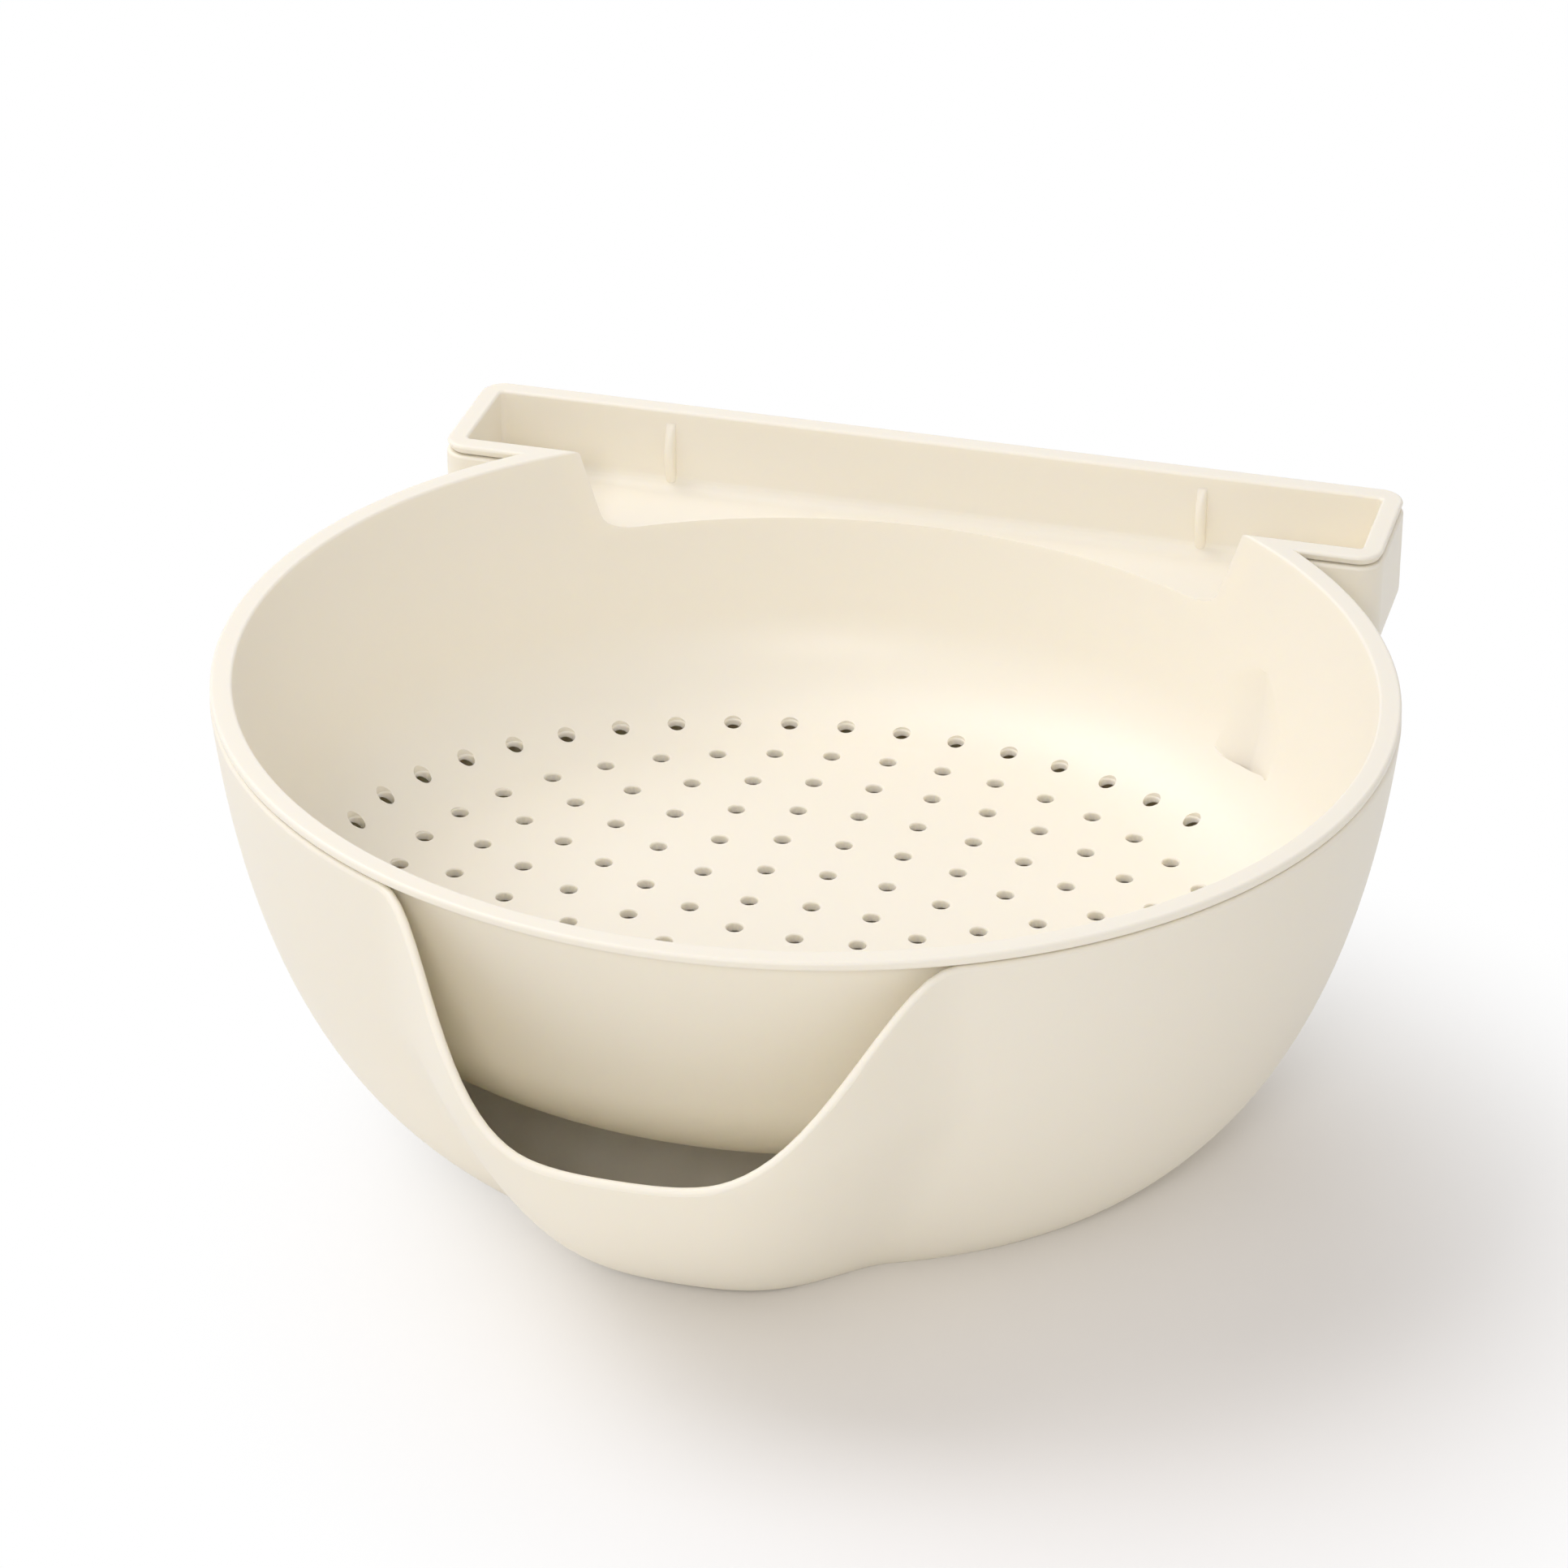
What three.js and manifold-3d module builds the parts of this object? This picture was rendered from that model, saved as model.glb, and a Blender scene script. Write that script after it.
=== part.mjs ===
// Double-layer colander bowl: an oval outer bowl with a pouring spout and a straight back,
// and a perforated colander that hangs in it by its flange and lifts straight out.
// Millimetres, +Z up, spout towards -Y, straight back towards +Y.
// The origin is on the underside of the base, below the centre of the oval.
import * as THREE from 'three';
import { mergeVertices } from 'three/addons/utils/BufferGeometryUtils.js';
import Module from 'manifold-3d';

const wasm = await Module();
wasm.setup();

// Overall sizes
const TOP_Z = 87;            // height of the colander flange above the table
const FLANGE_HALF_X = 116;   // half width of the oval flange
const OVAL_DIFFERENCE = 8;   // the oval is this much shorter in Y than in X, per half
const ROUND_STEPS = 80;      // facets round the colander
const BOWL_STEPS = 104;      // facets round the outer bowl, finer for the spout

// Straight back with one ear at each end
const EAR_INSET = 16.5;      // the straight back ends this far short of the widest point of the oval
const EAR_DEPTH = 32;        // back edge to front edge of the ears, over the flange
const EAR_CORNER = 5;        // corner radius of the ears in plan
const EAR_LEAST_CORNER = 1.5; // corner radius left in the narrowest inside face
const SHELF_DEPTH = 18;      // shelf of the colander's ears below the flange top

// Colander
const FLANGE_WIDTH = 4.3;
const FLANGE_THICK = 2;
const COLANDER_WALL = 1.8;
const COLANDER_LIFT = 30;    // inside floor of the colander above the table
const COLANDER_FLOOR = 1.8;
const COLANDER_TAPER = 10.83; // how far the wall runs in from the flange to the floor
const FLOOR_MARGIN = 3;      // the flat floor ends this far inside the edge of the bowl's base

// Hole pattern: oval rings round a blank middle, one entry for each ring from the inside out
const HOLES_IN_RING = [8, 14, 20, 26, 32, 40, 46];
const HOLE_RADIUS = 1.7;
const HOLE_SIDES = 6;
const PIN_OVERRUN = 1;       // the hole cutters start this far below the floor
const FIRST_RING_X = 23.5;
const FIRST_RING_Y = 6.4;
const LAST_RING_INSET_X = 19.9; // the outermost ring lies this far inside the flange edge
const LAST_RING_INSET_Y = 29.3;
const RING_BOW = 0.15;       // the rings draw together a little towards the wall

// Ribs on the inner face of the colander's straight back
const RIB_X = 57.5;
const RIB_THICK = 2.2;
const RIB_RISE = 2.8;
const RIB_TOP_DEPTH = 2.2;
const RIB_ROOT = 1;          // how far the rib's root lies inside the wall

// Thumb pocket low on the right wall of the colander
const POCKET_TURN = 40.35;   // direction of the crease in degrees from +X
const POCKET_INSET = 12.2;   // top of the crease inside the widest point of the flange
const POCKET_TOP_SHARE = 0.421; // top and end of the crease, as shares of the colander's depth
const POCKET_END_SHARE = 0.8246;
const POCKET_BEND = 3.2;     // how far the crease bends in at its end
const POCKET_WALL = 0.8;
const POCKET_LEFT_TURN_TOP = 0.2;  // how fast the left face comes back in from the crease
const POCKET_LEFT_TURN_END = 0.34;
const POCKET_RIGHT_TURN = 0.12;
const POCKET_LEFT_RISE = 6;  // how far the pocket's floor climbs to its left and right ends
const POCKET_RIGHT_RISE = 10;
const POCKET_STEPS = 5;
const POCKET_LEFT = 13.2;    // length of the left and right faces from the crease
const POCKET_RIGHT = 26;
const POCKET_THROAT = 5.3;   // the pocket drops into the floor round this far inside the crease
const POCKET_LEFT_THROAT = 7.5; // the same at its left end and along most of its right face
const POCKET_RIGHT_THROAT = 3.9;
const POCKET_RIGHT_THROAT_SHARE = 0.45; // where along the right face that begins
const POCKET_LEAST = 0.3;    // least width of the drop
const BLANK_TURN_FROM = 12; // directions in degrees between which the last ring has no holes
const BLANK_TURN_TO = 35;

// Outer bowl
const BOWL_WALL = 2.2;
const BOWL_FLOOR = 2.6;
const NEST_GAP = 0.5;        // side clearance between the colander and the bowl
const SEAT_GAP = 0.4;        // clearance below the flange
const BASE_INSET = 32;       // edge of the base inside the flange edge
const BASE_SWELL = 18;       // how far the lower curve leans out over the base
const BASE_SWELL_SHARE = 0.189; // height of that lean, as a share of the bowl's height
const SIDE_LEAN = 3.4;       // how far the upper curve leans in from the rim
const SIDE_LEAN_SHARE = 0.532;
const PROFILE_END_GAP = 0.5; // points of the curve nearer to its ends than this are left out

// Spout
const SPOUT_REACH = 27.5;     // how far the lip stands out in front of the oval
const SPOUT_BASE_REACH = 10; // the same at the table
const SPOUT_HALF_TOP = 56;
const SPOUT_HALF_BASE = 36;
const SPOUT_FULLNESS = 1.9;  // above one, the front of the spout is broad
const LIP_DIP = 36.5;         // lowest point of the pouring lip below the flange top
const LIP_HALF = 54.5;
const LIP_SHARPNESS = 2;
const LIP_STEPS = 28;

// Derived sizes
const FLANGE_HALF_Y = FLANGE_HALF_X - OVAL_DIFFERENCE;
const EAR_HALF_X = FLANGE_HALF_X - EAR_INSET;
const EAR_FRONT_Y = FLANGE_HALF_Y - EAR_DEPTH;
const BASE_HALF_X = FLANGE_HALF_X - BASE_INSET;
const COLANDER_INSET = FLANGE_WIDTH;
const COLANDER_SKIN = FLANGE_WIDTH - COLANDER_WALL;
const BOWL_INSET = COLANDER_SKIN - NEST_GAP;
const BOWL_SKIN = BOWL_INSET - BOWL_WALL;
const BOWL_TOP = TOP_Z - FLANGE_THICK - SEAT_GAP;
const BOWL_RIM_X = FLANGE_HALF_X - BOWL_SKIN;
const COLANDER_DEPTH = TOP_Z - COLANDER_LIFT;
const COLANDER_SLOPE = COLANDER_TAPER / COLANDER_DEPTH;
const FLOOR_BEND = Math.PI / 2 - Math.atan(COLANDER_SLOPE); // turn from the floor into the wall
const FLOOR_CORNER = FLANGE_HALF_X - COLANDER_INSET - COLANDER_TAPER;
const FLOOR_FLAT = BASE_HALF_X - FLOOR_MARGIN;
const FLOOR_FILLET = (FLOOR_CORNER - FLOOR_FLAT) / Math.tan(FLOOR_BEND / 2); // wide inside round
const POCKET_TOP_DEPTH = COLANDER_DEPTH * POCKET_TOP_SHARE;
const POCKET_END_DEPTH = COLANDER_DEPTH * POCKET_END_SHARE;
const OVER = 20;             // how far cutters run past the rim

// Turns a closed three.js geometry into a solid for cutting and joining.
function solid(source) {
  const bare = source.index ? source.toNonIndexed() : source.clone();
  bare.deleteAttribute('normal');
  bare.deleteAttribute('uv');
  const merged = mergeVertices(bare, 1e-4);
  const index = merged.index.array;
  const kept = [];
  for (let i = 0; i < index.length; i += 3) {
    const [a, b, c] = [index[i], index[i + 1], index[i + 2]];
    if (a !== b && b !== c && c !== a) kept.push(a, b, c);
  }
  const vertProperties = new Float32Array(merged.attributes.position.array);
  const build = (list) => new wasm.Manifold(
    new wasm.Mesh({ numProp: 3, vertProperties, triVerts: new Uint32Array(list) }));
  const body = build(kept);
  if (body.volume() > 0) return body;
  for (let i = 0; i < kept.length; i += 3) [kept[i], kept[i + 1]] = [kept[i + 1], kept[i]];
  return build(kept);
}

// How far the spout stands out at a place on the front. It grows from the table up to the lip.
function spoutSwell(x, z, trim) {
  const share = THREE.MathUtils.clamp(z / (TOP_Z - LIP_DIP), 0, 1);
  const half = THREE.MathUtils.lerp(SPOUT_HALF_BASE, SPOUT_HALF_TOP, share) - trim;
  const reach = THREE.MathUtils.lerp(SPOUT_BASE_REACH, SPOUT_REACH, share);
  return reach * roundedStep(Math.abs(x) / half, SPOUT_FULLNESS);
}

// Falls smoothly from 1 in the middle to 0 at the edge.
function roundedStep(place, power) {
  return 0.5 * (1 + Math.cos(Math.PI * Math.min(1, place) ** power));
}

// Revolves a profile of [half width, height] pairs and squeezes the circle into the oval.
// With a spout, the front is drawn out too; the trim narrows it for the inside face.
function ovalSolid(profile, spout, trim = 0) {
  const points = profile.map(([r, z]) => new THREE.Vector2(r, z));
  const turned = new THREE.LatheGeometry(points, spout ? BOWL_STEPS : ROUND_STEPS);
  turned.rotateX(Math.PI / 2);
  const place = turned.attributes.position;
  for (let i = 0; i < place.count; i += 1) {
    const x = place.getX(i);
    const z = place.getZ(i);
    const radius = Math.hypot(x, place.getY(i));
    let y = place.getY(i);
    if (radius > 1e-6) y *= (radius - OVAL_DIFFERENCE * Math.min(1, radius / BASE_HALF_X)) / radius;
    if (spout && y < 0) y -= spoutSwell(x, z, trim) * Math.min(1, radius / BASE_HALF_X);
    place.setXYZ(i, x, y, z);
  }
  return solid(turned);
}

// Flat-topped plate or plug with the oval plan of the flange, moved in by an inset.
function ovalPlate(inset, z0, z1) {
  const plate = new THREE.CylinderGeometry(1, 1, z1 - z0, ROUND_STEPS);
  plate.rotateX(Math.PI / 2);
  plate.scale(FLANGE_HALF_X - inset, FLANGE_HALF_Y - inset, 1);
  plate.translate(0, 0, (z0 + z1) / 2);
  return solid(plate);
}

// Box from ear to ear along the straight back, moved in by an inset.
function earBox(inset, z0, z1) {
  const x = EAR_HALF_X - inset;
  const y0 = EAR_FRONT_Y + inset;
  const y1 = FLANGE_HALF_Y - inset;
  const r = Math.max(EAR_LEAST_CORNER, EAR_CORNER - inset);
  const plan = new THREE.Shape();
  plan.moveTo(-x + r, y0);
  plan.lineTo(x - r, y0);
  plan.absarc(x - r, y0 + r, r, -Math.PI / 2, 0, false);
  plan.absarc(x - r, y1 - r, r, 0, Math.PI / 2, false);
  plan.absarc(-x + r, y1 - r, r, Math.PI / 2, Math.PI, false);
  plan.absarc(-x + r, y0 + r, r, Math.PI, Math.PI * 1.5, false);
  const box = new THREE.ExtrudeGeometry(plan, { depth: z1 - z0, bevelEnabled: false, curveSegments: 4 });
  box.translate(0, 0, z0);
  return solid(box);
}

// Profile of the colander wall at an inset from the flange edge, closed on the axis.
function colanderProfile(inset, floorZ, topZ, fillet) {
  const halfAt = (z) => FLANGE_HALF_X - inset - COLANDER_SLOPE * (TOP_Z - z);
  const profile = [[0, floorZ]];
  const run = fillet * Math.tan(FLOOR_BEND / 2);
  const corner = halfAt(floorZ);
  const steps = 5;
  for (let i = 0; i <= steps; i += 1) {
    const turn = (FLOOR_BEND * i) / steps;
    profile.push([corner - run + fillet * Math.sin(turn), floorZ + fillet * (1 - Math.cos(turn))]);
  }
  profile.push([halfAt(topZ), topZ], [0, topZ]);
  return profile;
}

// Side curve of the outer bowl, moved in along its own normal.
function bowlProfile(inset, floorZ, topZ) {
  const side = new THREE.CubicBezierCurve(
    new THREE.Vector2(BASE_HALF_X, 0),
    new THREE.Vector2(BASE_HALF_X + BASE_SWELL, BOWL_TOP * BASE_SWELL_SHARE),
    new THREE.Vector2(BOWL_RIM_X - SIDE_LEAN, BOWL_TOP * SIDE_LEAN_SHARE),
    new THREE.Vector2(BOWL_RIM_X, BOWL_TOP));
  const steps = 11;
  const profile = [[0, floorZ]];
  for (let i = 0; i <= steps; i += 1) {
    const point = side.getPoint(i / steps);
    const along = side.getTangent(i / steps);
    const x = point.x - inset * along.y;
    const z = point.y + inset * along.x;
    if (z > floorZ + PROFILE_END_GAP && z < BOWL_TOP - PROFILE_END_GAP) profile.push([x, z]);
    if (i === 0) profile.push([x - Math.max(0, z - floorZ), floorZ]);
  }
  profile.push([BOWL_RIM_X - inset, BOWL_TOP]);
  if (topZ > BOWL_TOP) profile.push([BOWL_RIM_X - inset, topZ]);
  profile.push([0, topZ]);
  return profile;
}

// Everything above the pouring lip, as a block in front of the bowl.
function lipCutter() {
  const front = new THREE.Shape();
  const top = TOP_Z + OVER;
  const lowest = TOP_Z - LIP_DIP;
  front.moveTo(-LIP_HALF, top);
  for (let i = 0; i <= LIP_STEPS; i += 1) {
    const x = THREE.MathUtils.lerp(-LIP_HALF, LIP_HALF, i / LIP_STEPS);
    const share = roundedStep(Math.abs(x) / LIP_HALF, LIP_SHARPNESS);
    front.lineTo(x, THREE.MathUtils.lerp(BOWL_TOP, lowest, share));
  }
  front.lineTo(LIP_HALF, top);
  front.closePath();
  const block = new THREE.ExtrudeGeometry(front, { depth: FLANGE_HALF_Y, bevelEnabled: false });
  block.rotateX(Math.PI / 2);
  block.translate(0, -FLANGE_HALF_Y / 2, 0);
  return solid(block);
}

// All the holes of the floor, evenly spread along each ring with one on the centre line.
function holePins() {
  const z0 = TOP_Z - COLANDER_DEPTH - COLANDER_FLOOR - PIN_OVERRUN;
  const length = FLOOR_FILLET / 2;
  const last = HOLES_IN_RING.length - 1;
  const pins = [];
  for (let ring = 0; ring <= last; ring += 1) {
    const bow = RING_BOW * ring * (last - ring);
    const a = bow + THREE.MathUtils.lerp(FIRST_RING_X, FLANGE_HALF_X - LAST_RING_INSET_X, ring / last);
    const b = bow + THREE.MathUtils.lerp(FIRST_RING_Y, FLANGE_HALF_Y - LAST_RING_INSET_Y, ring / last);
    const path = new THREE.EllipseCurve(0, 0, a, b, Math.PI / 2, Math.PI * 2.5);
    const count = HOLES_IN_RING[ring];
    for (let i = 0; i < count; i += 1) {
      const spot = path.getPointAt(i / count);
      if (ring === last && nearPocket(spot)) continue;
      const pin = new THREE.CylinderGeometry(HOLE_RADIUS, HOLE_RADIUS, length, HOLE_SIDES);
      pin.rotateX(Math.PI / 2);
      pin.translate(spot.x, spot.y, z0 + length / 2);
      pins.push(solid(pin));
    }
  }
  return wasm.Manifold.union(pins);
}

// The outermost ring stops short under the pocket.
function nearPocket(spot) {
  const turn = Math.atan2(spot.y, spot.x) * THREE.MathUtils.RAD2DEG;
  return turn > BLANK_TURN_FROM && turn < BLANK_TURN_TO;
}

// One rib: a shallow round-backed fin on the straight back.
function rib(x) {
  const wallY = FLANGE_HALF_Y - COLANDER_INSET;
  const high = TOP_Z - RIB_TOP_DEPTH;
  const low = TOP_Z - SHELF_DEPTH;
  const half = (high - low) / 2;
  const radius = (half * half + RIB_RISE * RIB_RISE) / (2 * RIB_RISE);
  const spread = Math.asin(half / radius);
  const section = new THREE.Shape();
  section.moveTo(RIB_ROOT, half);
  section.lineTo(RIB_ROOT, -half);
  const steps = 8;
  for (let i = 0; i <= steps; i += 1) {
    const turn = THREE.MathUtils.lerp(-spread, spread, i / steps);
    section.lineTo(radius - RIB_RISE - radius * Math.cos(turn), radius * Math.sin(turn));
  }
  const fin = new THREE.ExtrudeGeometry(section, { depth: RIB_THICK, bevelEnabled: false });
  const place = fin.attributes.position;
  for (let i = 0; i < place.count; i += 1) {
    const across = x - RIB_THICK / 2 + place.getZ(i);
    const inward = wallY + place.getX(i);
    place.setXYZ(i, across, inward, (high + low) / 2 + place.getY(i));
  }
  return solid(fin);
}

// Wedge of the thumb pocket: two upright faces that meet in a crease. The crease bends in towards the
// floor, and the left face turns in more the lower it gets. A skin above zero gives the outside.
function pocketWedge(skin) {
  const plan = new THREE.Shape();
  plan.moveTo(-POCKET_RIGHT, 0);
  for (let i = 1; i <= POCKET_STEPS; i += 1) {
    plan.lineTo(THREE.MathUtils.lerp(-POCKET_RIGHT, 0, i / POCKET_STEPS), 0);
  }
  for (let i = 1; i <= POCKET_STEPS; i += 1) {
    plan.lineTo(THREE.MathUtils.lerp(0, POCKET_LEFT, i / POCKET_STEPS), 0);
  }
  plan.lineTo(POCKET_LEFT, -POCKET_LEFT_THROAT);
  plan.lineTo(0, -POCKET_THROAT);
  plan.lineTo(-POCKET_RIGHT * POCKET_RIGHT_THROAT_SHARE, -POCKET_RIGHT_THROAT);
  plan.lineTo(-POCKET_RIGHT, -POCKET_RIGHT_THROAT);
  plan.closePath();
  const height = POCKET_END_DEPTH - POCKET_TOP_DEPTH;
  const depth = height + skin;
  const wedge = new THREE.ExtrudeGeometry(plan, { depth, steps: POCKET_STEPS, bevelEnabled: false });
  const turn = POCKET_TURN * THREE.MathUtils.DEG2RAD;
  const place = wedge.attributes.position;
  for (let i = 0; i < place.count; i += 1) {
    const side = place.getX(i);
    const below = depth - place.getZ(i);
    const share = below / height;
    const leftTurn = THREE.MathUtils.lerp(POCKET_LEFT_TURN_TOP, POCKET_LEFT_TURN_END, share);
    const back = (side > 0 ? leftTurn : POCKET_RIGHT_TURN) * Math.abs(side) + POCKET_BEND * share * share;
    const onFace = place.getY(i) === 0;
    const inside = Math.min(place.getY(i), -back - POCKET_LEAST);
    const out = FLANGE_HALF_X - POCKET_INSET + (onFace ? skin - back : inside - 2 * skin);
    const leftRise = POCKET_LEFT_RISE * (side / POCKET_LEFT) ** 2;
    const climb = side > 0 ? leftRise : -POCKET_RIGHT_RISE * side / POCKET_RIGHT;
    const bow = below > height / 2 ? climb * share : 0;
    const x = out * Math.cos(turn) - side * Math.sin(turn);
    const y = out * Math.sin(turn) + side * Math.cos(turn);
    place.setXYZ(i, x, y, TOP_Z - POCKET_TOP_DEPTH - below + bow);
  }
  return solid(wedge);
}

function buildColander() {
  const floorZ = TOP_Z - COLANDER_DEPTH;
  const underZ = floorZ - COLANDER_FLOOR;
  const shelfZ = TOP_Z - SHELF_DEPTH;
  const flangeZ = TOP_Z - FLANGE_THICK;
  const body = ovalSolid(colanderProfile(COLANDER_SKIN, underZ, TOP_Z, FLOOR_FILLET + COLANDER_WALL), false)
    .add(earBox(COLANDER_SKIN, shelfZ - COLANDER_WALL, TOP_Z))
    .add(ovalPlate(0, flangeZ, TOP_Z))
    .add(earBox(0, flangeZ, TOP_Z))
    .add(pocketWedge(POCKET_WALL));
  const hollow = ovalSolid(colanderProfile(COLANDER_INSET, floorZ, TOP_Z + OVER, FLOOR_FILLET), false)
    .add(earBox(COLANDER_INSET, shelfZ, TOP_Z + OVER))
    .add(pocketWedge(0));
  return body.subtract(hollow).subtract(holePins()).add(rib(-RIB_X)).add(rib(RIB_X));
}

function buildBowl() {
  const shelfZ = TOP_Z - SHELF_DEPTH - COLANDER_WALL - NEST_GAP;
  const body = ovalSolid(bowlProfile(0, 0, BOWL_TOP), true)
    .add(earBox(BOWL_SKIN, shelfZ - BOWL_WALL, BOWL_TOP));
  const hollow = ovalSolid(bowlProfile(BOWL_WALL, BOWL_FLOOR, BOWL_TOP + OVER), true, BOWL_WALL / 2)
    .add(earBox(BOWL_INSET, shelfZ, BOWL_TOP + OVER));
  return body.subtract(hollow).subtract(lipCutter());
}

// Wraps a finished solid as a named mesh with its own material.
function piece(name, body, colour, roughness) {
  const { vertProperties, triVerts } = body.getMesh();
  const geometry = new THREE.BufferGeometry();
  geometry.setAttribute('position', new THREE.BufferAttribute(new Float32Array(vertProperties), 3));
  geometry.setIndex(new THREE.BufferAttribute(new Uint32Array(triVerts), 1));
  geometry.computeVertexNormals();
  const material = new THREE.MeshStandardMaterial({ color: colour, roughness, metalness: 0 });
  const mesh = new THREE.Mesh(geometry, material);
  mesh.name = name;
  return mesh;
}

const assembly = new THREE.Group();
assembly.name = 'double_layer_colander_bowl';
assembly.add(piece('outer_bowl', buildBowl(), 0xf1e9dc, 0.42));
assembly.add(piece('colander', buildColander(), 0xf4ede2, 0.4));

export default assembly;
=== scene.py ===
# %% [markdown]
# # A two-layer colander bowl
# The real object is two cream plastic mouldings: an outer bowl with a broad pouring spout, and a
# colander that hangs in it by a thin flange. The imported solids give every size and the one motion,
# the lift of the colander. This lesson replaces both solids with smoother skins that have rounded
# rims, soft inside corners and round drain holes, and then lights them like a catalogue picture.

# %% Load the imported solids
import math

import bpy
import numpy as np
from mathutils import Matrix, Vector


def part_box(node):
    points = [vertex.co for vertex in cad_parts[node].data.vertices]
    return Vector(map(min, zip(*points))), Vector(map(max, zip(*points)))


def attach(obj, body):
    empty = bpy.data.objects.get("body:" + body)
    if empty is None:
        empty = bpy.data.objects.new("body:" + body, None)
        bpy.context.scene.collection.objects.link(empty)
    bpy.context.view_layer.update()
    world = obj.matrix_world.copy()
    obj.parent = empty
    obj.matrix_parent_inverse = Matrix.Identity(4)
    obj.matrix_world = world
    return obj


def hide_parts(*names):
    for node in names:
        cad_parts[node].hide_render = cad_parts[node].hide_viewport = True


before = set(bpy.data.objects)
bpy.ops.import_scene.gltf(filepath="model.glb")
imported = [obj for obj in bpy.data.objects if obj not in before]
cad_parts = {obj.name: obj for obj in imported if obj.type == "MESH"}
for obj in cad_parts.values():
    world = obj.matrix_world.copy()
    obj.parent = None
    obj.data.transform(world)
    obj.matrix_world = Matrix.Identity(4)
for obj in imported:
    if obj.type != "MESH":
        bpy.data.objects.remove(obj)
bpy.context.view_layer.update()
print("packed pieces:", sorted(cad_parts))

# %% [markdown]
# ## Sizes
# A moulded piece is drawn from a handful of sizes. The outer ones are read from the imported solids,
# so the skins follow them, and the rest are the wall, fillet and clearance sizes that a mould maker
# would write on the drawing. Everything here is in metres.

# %% Sizes read from the solids and sizes of the mouldings
MM = 0.001
bowl_low, bowl_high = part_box("outer_bowl")
colander_low, colander_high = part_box("colander")
TOP_Z = colander_high.z
BOWL_TOP = bowl_high.z
FLANGE_HALF_X = colander_high.x
FLANGE_HALF_Y = colander_high.y
OVAL_DIFFERENCE = FLANGE_HALF_X - FLANGE_HALF_Y
BOWL_RIM_X = bowl_high.x
BASE_HALF_X = 84 * MM
BOWL_WALL = 2.2 * MM
BOWL_FLOOR = 2.6 * MM
FLANGE_WIDTH = 4.3 * MM
FLANGE_THICK = 2 * MM
COLANDER_WALL = 1.8 * MM
COLANDER_FLOOR_Z = TOP_Z - 57 * MM
COLANDER_UNDER_Z = colander_low.z
COLANDER_SLOPE = 0.19
FLOOR_FILLET = 24 * MM
EDGE_ROUND = 0.7 * MM
CUT_TOP_Z = TOP_Z + 9 * MM
ROUND_STEPS = 320
turns = np.arange(ROUND_STEPS) * (2 * math.pi / ROUND_STEPS)
print("flange", round(2 * FLANGE_HALF_X / MM, 1), "by", round(2 * FLANGE_HALF_Y / MM, 1), "mm")

# %% [markdown]
# ## Skins from rings
# Both pieces are nearly turned forms, so each one is built as a stack of rings: start at the middle
# of the underside, walk up the outside, over the rim, down the inside and end at the middle of the
# floor. A Screw modifier would make plain round rings, but here every ring is an oval and the bowl's
# rings also bulge into the spout, so the points are worked out ring by ring and then bridged.

# %% Bridge a stack of rings into a closed skin
def skin_of_rings(name, rings, start=None, end=None):
    """A closed mesh from rings of equal length; each end is a point, or one flat face if not given."""
    count = len(rings[0])
    around = [(i, (i + 1) % count) for i in range(count)]
    vertices = [tuple(point) for ring in rings for point in ring]
    faces = []
    for low in range(0, (len(rings) - 1) * count, count):
        faces += [(low + i, low + j, low + count + j, low + count + i) for i, j in around]
    top = (len(rings) - 1) * count
    if start is None:
        faces.append([i for i in reversed(range(count))])
    else:
        faces += [(j, i, len(vertices)) for i, j in around]
        vertices.append(tuple(start))
    if end is None:
        faces.append([top + i for i in range(count)])
    else:
        faces += [(top + i, top + j, len(vertices)) for i, j in around]
        vertices.append(tuple(end))
    mesh = bpy.data.meshes.new(name)
    mesh.from_pydata(vertices, [], faces)
    made = bpy.data.objects.new(name, mesh)
    bpy.context.scene.collection.objects.link(made)
    return made


def oval_ring(half_x, z):
    """One oval ring; half_x and z are numbers, or one value for each step round."""
    half_x = np.broadcast_to(half_x, turns.shape)
    half_y = half_x - OVAL_DIFFERENCE * np.minimum(1, half_x / BASE_HALF_X)
    heights = np.broadcast_to(z, turns.shape)
    return np.stack([half_x * np.cos(turns), half_y * np.sin(turns), heights], axis=1)


def arc(start, stop, steps):
    """Angles in radians from start to stop degrees, both ends counted."""
    return np.radians(np.linspace(start, stop, steps + 1))

# %% [markdown]
# ## The outer bowl
# The side of the bowl is one smooth curve, so four Bezier points describe it, and the inside face is
# that curve moved in by the wall. The spout is a swelling of the front that grows from the table to
# the lip, and the rim drops there in an S curve. A boolean cut would leave the lip with two sharp
# edges. Here each upright line of points is squeezed to end exactly at the lip instead, so the rim
# can turn over as a small round bead all the way along.

# %% Side curve of the bowl
FOOT_PULL_OUT, FOOT_PULL_UP = 18 * MM, 16 * MM
RIM_PULL_IN, RIM_PULL_Z = 3.4 * MM, 45 * MM
side_points = np.array([
    (BASE_HALF_X, 0),
    (BASE_HALF_X + FOOT_PULL_OUT, FOOT_PULL_UP),
    (BOWL_RIM_X - RIM_PULL_IN, RIM_PULL_Z),
    (BOWL_RIM_X, BOWL_TOP),
])
share = np.linspace(0, 1, 401)[:, None]
side_curve = ((1 - share) ** 3 * side_points[0] + 3 * (1 - share) ** 2 * share * side_points[1]
              + 3 * (1 - share) * share ** 2 * side_points[2] + share ** 3 * side_points[3])
along = np.gradient(side_curve, axis=0)
along /= np.linalg.norm(along, axis=1, keepdims=True)


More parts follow.
